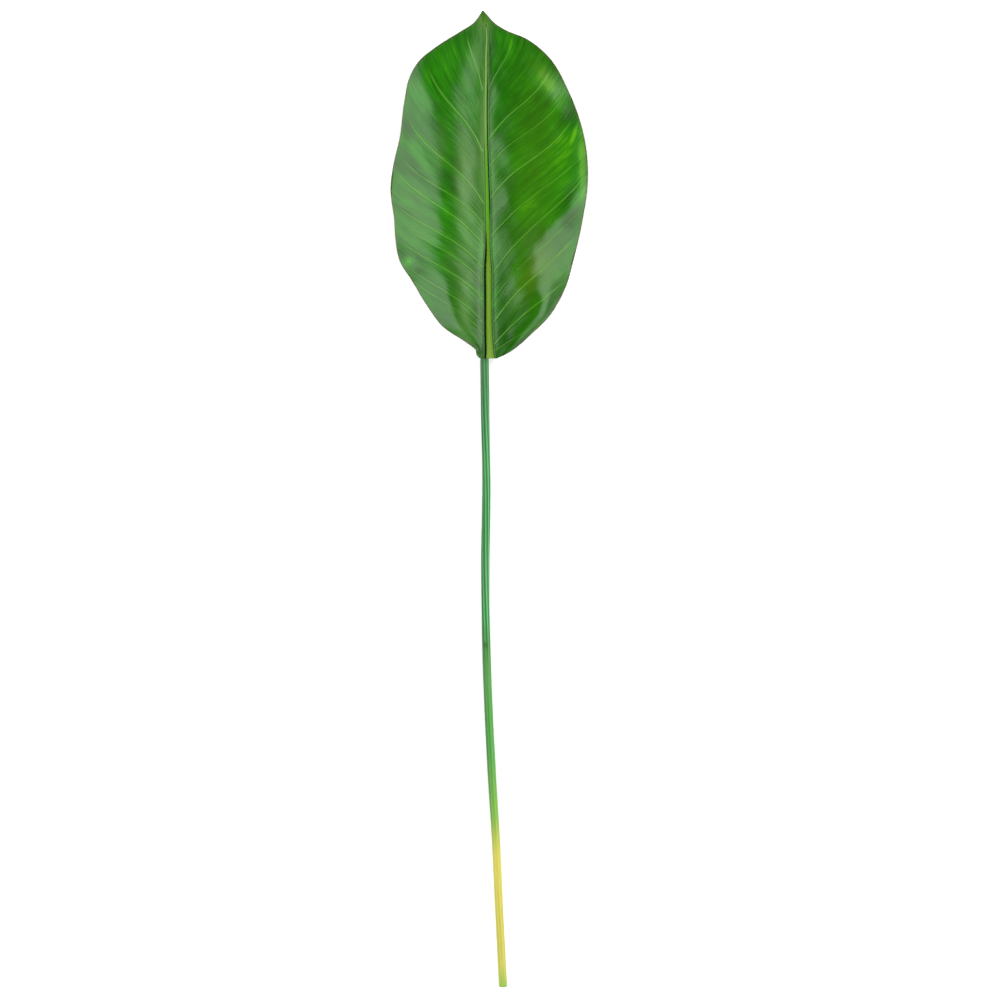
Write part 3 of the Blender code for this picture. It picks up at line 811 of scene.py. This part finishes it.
def grained(tree, source, scale, detail, roughness=0.5):
    """Noise over a place, repeated this often in one unit along each axis."""
    spaced = add_node(tree, "ShaderNodeMapping", {"Vector": source, "Scale": scale})
    noise = add_node(
        tree,
        "ShaderNodeTexNoise",
        {"Vector": spaced.outputs["Vector"], "Scale": 1.0, "Detail": detail, "Roughness": roughness},
    )
    return noise.outputs[0]


def finish_material(tree, look, relief, strength, depth):
    """Gives a material its surface, with a relief this strong and this deep in metres."""
    bump = add_node(tree, "ShaderNodeBump", {"Height": relief, "Strength": strength, "Distance": depth})
    shader = add_node(tree, "ShaderNodeBsdfPrincipled", {**look, "Normal": bump.outputs["Normal"]})
    add_node(tree, "ShaderNodeOutputMaterial", {"Surface": shader.outputs[0]})


def painted_face(settings):
    """Soft PVC moulded with raised veins, then sprayed and hand brushed in greens.

    The paint is satin, so broad lights show as pale bands. The brush follows
    the veins in strokes about 25 mm long. Painted sheen, painted highlights and
    painted shade are laid into the colour as well.
    """
    material, tree = new_material("Painted soft PVC")
    spot = add_node(tree, "ShaderNodeTexCoord")
    grain = add_node(tree, "ShaderNodeUVMap", uv_map="Grain")
    cloud = add_node(
        tree,
        "ShaderNodeTexNoise",
        {"Vector": spot.outputs["Object"], "Scale": 1 / (CLOUD_SIZE * MM), "Detail": 2.0},
    )
    marks = {
        name: grained(tree, grain.outputs["UV"], (along, across, 1.0), detail, roughness)
        for name, (along, across, detail, roughness, _) in BRUSHES.items()
    }
    shares = [(cloud.outputs[0], CLOUD_SHARE)] + [(marks[name], BRUSHES[name][-1]) for name in BRUSHES]
    tone = TONE
    for source, share in shares:
        centred = add_node(tree, "ShaderNodeMath", {0: source, 1: 0.5}, operation="SUBTRACT")
        tone = add_node(
            tree, "ShaderNodeMath", {0: centred.outputs[0], 1: share, 2: tone}, operation="MULTIPLY_ADD"
        ).outputs[0]
    for name, share in DAB_SHARES:
        dab = add_node(tree, "ShaderNodeAttribute", attribute_name=name)
        tone = add_node(
            tree, "ShaderNodeMath", {0: dab.outputs["Fac"], 1: share, 2: tone}, operation="MULTIPLY_ADD"
        ).outputs[0]
    greens = fill_ramp(
        add_node(tree, "ShaderNodeValToRGB", {"Fac": tone}),
        ((0.0, settings.deep), (0.4, settings.middle), (0.75, settings.fresh), (1.0, settings.lime)),
    )
    # Layers: olive tone, painted sheen, veins, the margin's dark line and painted shade in the crevice
    layers = [(name, getattr(settings, name), "MIX") for name in ("olive", "pale", "vein", "rim", "groove")]
    rough = add_node(tree, "ShaderNodeMapRange", {"Value": marks["stroke"], "To Min": 0.18, "To Max": 0.28})
    relief = add_node(
        tree, "ShaderNodeMath", {0: marks["stroke"], 1: 2.0, 2: marks["hair"]}, operation="MULTIPLY_ADD"
    )
    look = {
        "Base Color": lay_over(tree, greens, layers),
        "Roughness": rough.outputs["Result"],
        "IOR": 1.5,
        "Specular Tint": (*settings.sheen, 1.0),
    }
    finish_material(tree, look, relief.outputs[0], 0.3, 0.0003)
    return material


def bare_back(settings):
    """The unpainted back of the same PVC, matt from a blasted mould."""
    material, tree = new_material("Bare soft PVC back")
    spot = add_node(tree, "ShaderNodeTexCoord").outputs["Object"]
    # Faint mottling 12 mm across, and the mould's grit, about 0.6 mm
    cloud = add_node(tree, "ShaderNodeTexNoise", {"Vector": spot, "Scale": 1 / 0.012, "Detail": 4.0})
    grit = add_node(tree, "ShaderNodeTexNoise", {"Vector": spot, "Scale": 1 / 0.0006, "Detail": 2.0})
    mottled = fill_ramp(
        add_node(tree, "ShaderNodeValToRGB", {"Fac": cloud.outputs[0]}),
        [(at, [min(c * tint, 1) for c in settings.under]) for at, tint in ((0.25, 0.85), (0.75, 1.12))],
    )
    look = {"Base Color": mottled, "Roughness": 0.6, "IOR": 1.5}
    finish_material(tree, look, grit.outputs[0], 0.3, 0.0001)
    return material


def rib_plastic(settings):
    """Polyethylene strip, moulded and lightly brushed, satin with lengthwise fibres."""
    material, tree = new_material("Brushed polyethylene rib")
    spot = add_node(tree, "ShaderNodeTexCoord").outputs["Object"]
    axes = add_node(tree, "ShaderNodeSeparateXYZ", {0: spot})
    stops = (
        (0.0, settings.base), (0.06, settings.low), (0.3, settings.low), (0.42, settings.high),
        (0.56, settings.high), (0.68, settings.top), (0.92, settings.top), (1.0, settings.high),
    )
    along = along_piece(tree, axes.outputs["Y"], BASE_Y, BASE_Y + BLADE_LENGTH, stops)
    # Fibres 0.9 mm wide and 40 mm long
    fibre = grained(tree, spot, (1 / 0.0009, 1 / 0.04, 1 / 0.0009), 2.0)
    # Painted shade on the right side of the strip, laid between the fibres
    across = add_node(tree, "ShaderNodeAttribute", attribute_name="across")
    lean = add_node(
        tree,
        "ShaderNodeMapRange",
        {"Value": across.outputs["Fac"], "From Min": -0.2, "From Max": 1.0, "To Min": 0.0, "To Max": 0.8},
    )
    darker = add_node(tree, "ShaderNodeMath", {0: lean.outputs["Result"], 1: fibre}, operation="MULTIPLY")
    shaded = add_node(
        tree,
        "ShaderNodeMix",
        {0: darker.outputs[0], MIX_A: along, MIX_B: (*settings.shade, 1.0)},
        data_type="RGBA",
    ).outputs[MIX_RESULT]
    # The paler middle laid over it is a painted highlight along the strip's top
    look = {
        "Base Color": lay_over(tree, shaded, (("crown_highlight", settings.crown_highlight, "MIX"),)),
        "Roughness": 0.42,
        "IOR": 1.51,
        "Specular IOR Level": 0.1,
    }
    finish_material(tree, look, fibre, 0.2, 0.0003)
    return material


def stem_plastic(settings):
    """Polyethylene rod, extruded with flutes and dipped in dye down to its last quarter."""
    material, tree = new_material("Dipped polyethylene rod")
    spot = add_node(tree, "ShaderNodeTexCoord").outputs["Object"]
    axes = add_node(tree, "ShaderNodeSeparateXYZ", {0: spot})
    # Drawn fibres 1.2 mm wide and 60 mm long, along which the dye's edge wanders
    fibre = grained(tree, spot, (1 / 0.0012, 1 / 0.06, 1 / 0.0012), 2.0)
    shifted = add_node(
        tree, "ShaderNodeMath", {0: fibre, 1: 0.012, 2: axes.outputs["Y"]}, operation="MULTIPLY_ADD"
    )
    # The last stop is painted shadow, where the blade shades the stem
    stops = (
        (0.012, settings.cut), (0.045, settings.pale), (0.22, settings.pale), (0.285, settings.change),
        (0.38, settings.lower), (0.55, settings.lower), (0.6, settings.upper), (0.85, settings.upper),
        (0.97, settings.head),
    )
    along = along_piece(tree, shifted.outputs[0], CUT_Y, BASE_Y, stops)
    # Painted shade in the flutes and on the left side of the rod, and darker green in the nick
    layers = (
        ("flute_shade", settings.flute_shade, "MULTIPLY"),
        ("side_shade", settings.side_shade, "MULTIPLY"),
        ("nick", settings.nick, "MIX"),
    )
    look = {
        "Base Color": lay_over(tree, along, layers),
        "Roughness": 0.33,
        "IOR": 1.51,
        "Specular IOR Level": 0.35,
    }
    finish_material(tree, look, fibre, 0.15, 0.0003)
    return material


def loft(name, rings, materials):
    """A closed solid through rings of points that each run counter-clockwise."""
    sides = len(rings[0])
    count = len(rings)
    k = np.arange(sides)
    after = (k + 1) % sides
    faces = []
    for r in range(count - 1):
        a, b = r * sides + k, r * sides + after
        faces += np.column_stack((b, a, a + sides, b + sides)).tolist()
    faces.append(list(range(sides)))
    faces.append(list(range(count * sides - 1, (count - 1) * sides - 1, -1)))
    return mesh_piece(name, np.concatenate(rings), faces, materials)


def stem_middle(y):
    """Middle line of the stem at a place along it."""
    return float(spline(STEM_LINE, y)), float(spline(STEM_HEIGHTS, y))


def socket_ring(y, lift, radius):
    """One round section about the stem's middle line."""
    x, z = stem_middle(y)
    angle = 2 * np.pi * (np.arange(SOCKET_SIDES) + 0.5) / SOCKET_SIDES
    across, up = radius * np.cos(angle), radius * np.sin(angle)
    return np.column_stack((x + across, np.full(SOCKET_SIDES, y), z + lift + up))


def join_shape(piece, other, operation):
    """Joins or cuts a closed shape, and removes it."""
    modifier = piece.modifiers.new(other.name, "BOOLEAN")
    modifier.operation = operation
    modifier.solver = "MANIFOLD"
    modifier.object = other
    with bpy.context.temp_override(object=piece, active_object=piece, selected_objects=[piece]):
        bpy.ops.object.modifier_apply(modifier=modifier.name)
    bpy.data.objects.remove(other)


class LEAF_OT_blade(bpy.types.Operator):
    """Build the blade"""

    bl_idname = "leaf.blade"
    bl_label = "Blade"

    def execute(self, context):
        settings = context.scene.leaf_blade
        grids = blade_grids(settings)
        rows, columns = grids["x"].shape
        size = rows * columns
        x, height = grids["x"], grids["height"]
        points = np.concatenate([
            np.column_stack((x.ravel(), height.ravel() + BASE_Y, grids[layer].ravel()))
            for layer in ("face", "back")
        ])
        outline = border(rows, columns)
        after = np.roll(outline, -1)
        rim_faces = np.concatenate((
            np.column_stack((outline + size, after + size, after)),
            np.column_stack((outline + size, after, outline)),
        ))
        upper = sheet_faces(rows, columns, False, 0)
        lower = sheet_faces(rows, columns, True, size)
        faces = np.concatenate((upper, lower, rim_faces))
        paint, back = painted_face(settings), bare_back(settings)
        piece = mesh_piece("leaf_blade", points, faces, (paint, back))
        slots = np.zeros(len(faces), dtype=np.int32)
        slots[len(upper) : len(upper) + len(lower)] = 1
        piece.data.polygons.foreach_set("material_index", slots)
        # The dark line is fainter round the base
        dark_line = 0.3 + 0.7 * smooth_step(height, 6, 14)
        masks = {
            "vein": grids["vein"] * VEIN_COVER,
            "rim": np.exp(-((grids["margin"] / RIM_LINE) ** 2)) * dark_line,
            # Painted shade in the crevice beside the rib
            "groove": grids["groove"],
            # Lighter and darker dabs are partly the paint's tone and partly painted highlight and painted
            # shade
            "fresh": mark_strength(FRESH_AND_HIGHLIGHT_MARKS, x, height),
            "dark": mark_strength(DARK_AND_SHADE_MARKS, x, height),
            "olive": np.clip(mark_strength(OLIVE_MARKS, x, height), 0, 0.9),
            "pale": np.clip(mark_strength(PAINTED_SHEEN_MARKS, x, height), 0, 0.9),
        }
        for name, mask in masks.items():
            paint_mask(piece, name, np.concatenate((mask.ravel(), mask.ravel())))
        grain_map(piece, np.tile(grids["along"].ravel(), 2), np.tile(grids["row"].ravel(), 2))
        sleeve_rings = [socket_ring(BASE_Y + at, lift, radius) for at, lift, radius in SOCKET_RINGS]
        bore_rings = [
            socket_ring(y, 0.0, float(spline(STEM_RADII, y)) + GAP)
            for y in np.linspace(BASE_Y - 4, STEM_TOP_Y + GAP, 12)
        ]
        sleeve = loft("socket_outside", sleeve_rings, (back,))
        bore = loft("socket_bore", bore_rings, (back,))
        join_shape(piece, sleeve, "UNION")
        join_shape(piece, bore, "DIFFERENCE")
        place(piece, "blade", "blade")
        return {"FINISHED"}


class LEAF_OT_midrib(bpy.types.Operator):
    """Build the midrib"""

    bl_idname = "leaf.midrib"
    bl_label = "Midrib"

    def execute(self, context):
        settings = context.scene.leaf_rib
        # Rings lie closest where the strip narrows: at its foot and its shoulder
        heights = np.concatenate((
            np.linspace(0.0, 6.0, 9), np.linspace(7.5, 76.0, 46), np.linspace(77.0, 104.0, 28),
            np.linspace(106.0, RIB_END - 1, 100), (RIB_END,),
        ))
        turn = np.arange(RIB_FACETS + 1) / RIB_FACETS
        angle = np.pi * (1 - turn)
        rings = []
        for height in heights:
            middle = float(spline(RIB_LINE, height))
            half = float(spline(RIB_WIDTHS, height)) / 2
            lip = float(spline(LIP_HEIGHTS, height))
            floor = lip - float(channel_depth(height)) + GAP
            top = lip + float(spline(RIB_PROUD, height))
            by_width, by_height = RIB_SHOULDERS
            shoulder = max(top - by_width * half, floor + by_height * (top - floor))
            x = np.concatenate(((half, -half), half * np.cos(angle)))
            open_widths = [straight(CREVICE_WIDTHS[side], height) for side in (-1, 1)]
            snug = [RIB_SNUG * (1 - smooth_step(width, GAP, GAP + 0.3)) for width in open_widths]
            x *= 1 + np.where(x < 0, *snug) / half
            z = np.concatenate(((floor, floor), shoulder + (top - shoulder) * np.sin(angle)))
            ring = np.column_stack((middle + x, np.full(len(x), BASE_Y + height), z))
            rings.append(ring[::-1])
        piece = loft("leaf_midrib", rings, (rib_plastic(settings),))
        across = np.concatenate(((1.0, -1.0), -np.cos(np.pi * turn)))[::-1]
        paint_mask(piece, "across", np.tile(across, len(rings)))
        # A painted highlight along the rib's top: strong on the wide lower part and faint above its
        # shoulder
        paler = 0.15 + 0.45 * (1 - smooth_step(heights, 60.0, 100.0))
        paint_mask(piece, "crown_highlight", np.outer(paler, np.exp(-(((across + 0.1) / 0.45) ** 2))))
        place(piece, "midrib", "midrib")
        return {"FINISHED"}


class LEAF_OT_stem(bpy.types.Operator):
    """Build the stem"""

    bl_idname = "leaf.stem"
    bl_label = "Stem"

    def execute(self, context):
        settings = context.scene.leaf_stem
        places = np.concatenate((
            (CUT_Y, CUT_Y + 0.15, CUT_Y + CUT_BEVEL),
            np.linspace(CUT_Y + 2.0, NICK_Y - 8.0, 150),
            np.linspace(NICK_Y - 7.0, NICK_Y + 7.0, 29),
            np.linspace(NICK_Y + 8.0, STEM_TOP_Y - 2.0, 140),
            (STEM_TOP_Y - CUT_BEVEL, STEM_TOP_Y),
        ))
        insets = np.zeros(len(places))
        insets[[0, 1, -1]] = (CUT_BEVEL, CUT_BEVEL * 0.3, CUT_BEVEL)
        angle = 2 * np.pi * np.arange(STEM_SIDES) / STEM_SIDES
        # 0 on the ridges between flutes and 1 at the bottom of each one
        groove = 0.5 - 0.5 * np.cos(FLUTES * angle)
        rings = []
        masks = {"flute_shade": [], "nick": [], "side_shade": []}
        for y, inset in zip(places, insets):
            x, z = stem_middle(y)
            depth = float(spline(FLUTE_DEPTHS, y))
            turned = angle + TWIST_PER_MM * (y - CUT_Y)
            around = np.angle(np.exp(1j * (turned - NICK_ANGLE)))
            nick = np.exp(-(((y - NICK_Y) / NICK_LENGTH) ** 2) - (around / NICK_SPAN) ** 2)
            reach = float(spline(STEM_RADII, y)) - inset - depth * groove - NICK_DEPTH * nick
            height = np.maximum(z + reach * np.sin(turned), 0.0)
            rings.append(np.column_stack((x + reach * np.cos(turned), np.full(STEM_SIDES, y), height)))
            # Painted shade on the rod's left side, fainter down towards the cut end
            side_shade_share = 0.35 + 0.65 * smooth_step(y, *SIDE_SHADE_RISE)
            # Painted shade in the flutes follows their depth
            masks["flute_shade"].append(groove * depth / FULL_FLUTE)
            masks["nick"].append(nick)
            masks["side_shade"].append(side_shade_share * straight(SIDE_SHADES, np.cos(turned)))
        piece = loft("leaf_stem", rings, (stem_plastic(settings),))
        for name, values in masks.items():
            paint_mask(piece, name, np.concatenate(values))
        place(piece, "stem", "stem")
        return {"FINISHED"}


class LEAF_OT_stage(bpy.types.Operator):
    """Lay the floor and set the lights and the camera"""

    bl_idname = "leaf.stage"
    bl_label = "Studio"

    def execute(self, context):
        settings = context.scene.leaf_stage
        scene = context.scene
        scene.view_settings.view_transform = "Standard"

        # A faint glow of its own keeps the board as pale as the photograph's ground
        material, tree = new_material("Matt painted board")
        board = add_node(
            tree,
            "ShaderNodeBsdfPrincipled",
            {
                "Base Color": (*settings.floor, 1.0), "Roughness": 0.9,
                "Emission Color": (1.0, 1.0, 1.0, 1.0), "Emission Strength": FLOOR_GLOW,
            },
        )
        add_node(tree, "ShaderNodeOutputMaterial", {"Surface": board.outputs[0]})
        corners = [(x * FLOOR_HALF, y * FLOOR_HALF, 0) for x, y in ((-1, -1), (1, -1), (1, 1), (-1, 1))]
        floor = mesh_piece("studio_floor", corners, [(0, 1, 2, 3)], (material,), None)

        world = bpy.data.worlds.new("studio")
        scene.world = world
        world.use_nodes = True
        sky = world.node_tree
        sky.nodes.clear()
        direction = add_node(sky, "ShaderNodeTexCoord")
        axes = add_node(sky, "ShaderNodeSeparateXYZ", {0: direction.outputs["Generated"]})
        ramp = add_node(sky, "ShaderNodeValToRGB", {"Fac": axes.outputs["Z"]})
        dome = fill_ramp(ramp, [(at, (grey,) * 3) for at, grey in SKY_GREYS])

        # Two tall soft boxes, left and right, whose light fades out at their edges
        boxes = settings.radiance
        for axis, low, high, start, end in BOX_FADES:
            size = add_node(sky, "ShaderNodeMath", {0: axes.outputs[axis]}, operation="ABSOLUTE")
            fade = add_node(
                sky,
                "ShaderNodeMapRange",
                {
                    "Value": size.outputs[0],
                    "From Min": low, "From Max": high, "To Min": start, "To Max": end,
                },
                interpolation_type="SMOOTHSTEP",
            )
            boxes = add_node(
                sky, "ShaderNodeMath", {0: boxes, 1: fade.outputs["Result"]}, operation="MULTIPLY"
            ).outputs[0]
        above = add_node(sky, "ShaderNodeMath", {0: axes.outputs["Z"], 1: 0.0}, operation="GREATER_THAN")
        boxes = add_node(sky, "ShaderNodeMath", {0: boxes, 1: above.outputs[0]}, operation="MULTIPLY")
        both = add_node(sky, "ShaderNodeVectorMath", {0: dome, 1: boxes.outputs[0]}, operation="ADD")
        glow = add_node(sky, "ShaderNodeBackground", {"Color": both.outputs[0], "Strength": 1.0})
        add_node(sky, "ShaderNodeOutputWorld", {"Surface": glow.outputs[0]})

        lens = bpy.data.cameras.new("camera")
        lens.lens = FOCAL_LENGTH
        camera = bpy.data.objects.new("camera", lens)
        x, y, z = LOOK_AT
        distance = PICTURE_WIDTH * lens.lens / lens.sensor_width
        camera.location = (x * MM, y * MM, (z + distance) * MM)
        scene.collection.objects.link(camera)
        scene.camera = camera
        return {"FINISHED"}


class LEAF_PT_sidebar(bpy.types.Panel):
    """Lists the leaf's pieces"""

    bl_label = "Rubber plant leaf"
    bl_idname = "LEAF_PT_sidebar"
    bl_space_type = "VIEW_3D"
    bl_region_type = "UI"
    bl_category = "Leaf"

    def draw(self, context):
        for operator, group in STEPS:
            box = self.layout.box()
            box.operator(operator.bl_idname)
            settings = getattr(context.scene, group)
            for key in settings.bl_rna.properties.keys():
                if key not in ("rna_type", "name"):
                    box.prop(settings, key)


GROUPS = {
    "leaf_blade": LEAF_PG_blade,
    "leaf_rib": LEAF_PG_rib,
    "leaf_stem": LEAF_PG_stem,
    "leaf_stage": LEAF_PG_stage,
}
STEPS = (
    (LEAF_OT_blade, "leaf_blade"),
    (LEAF_OT_midrib, "leaf_rib"),
    (LEAF_OT_stem, "leaf_stem"),
    (LEAF_OT_stage, "leaf_stage"),
)


def register():
    """Adds the leaf's settings, operators and panel to Blender."""
    for name, group in GROUPS.items():
        bpy.utils.register_class(group)
        setattr(bpy.types.Scene, name, bpy.props.PointerProperty(type=group))
    for operator, _ in STEPS:
        bpy.utils.register_class(operator)
    bpy.utils.register_class(LEAF_PT_sidebar)


def unregister():
    """Takes them out again."""
    bpy.utils.unregister_class(LEAF_PT_sidebar)
    for operator, _ in reversed(STEPS):
        bpy.utils.unregister_class(operator)
    for name, group in reversed(GROUPS.items()):
        delattr(bpy.types.Scene, name)
        bpy.utils.unregister_class(group)


def main():
    """Builds the leaf and its studio."""
    register()
    bpy.ops.leaf.blade()
    bpy.ops.leaf.midrib()
    bpy.ops.leaf.stem()
    bpy.ops.leaf.stage()


if __name__ == "__main__":
    main()
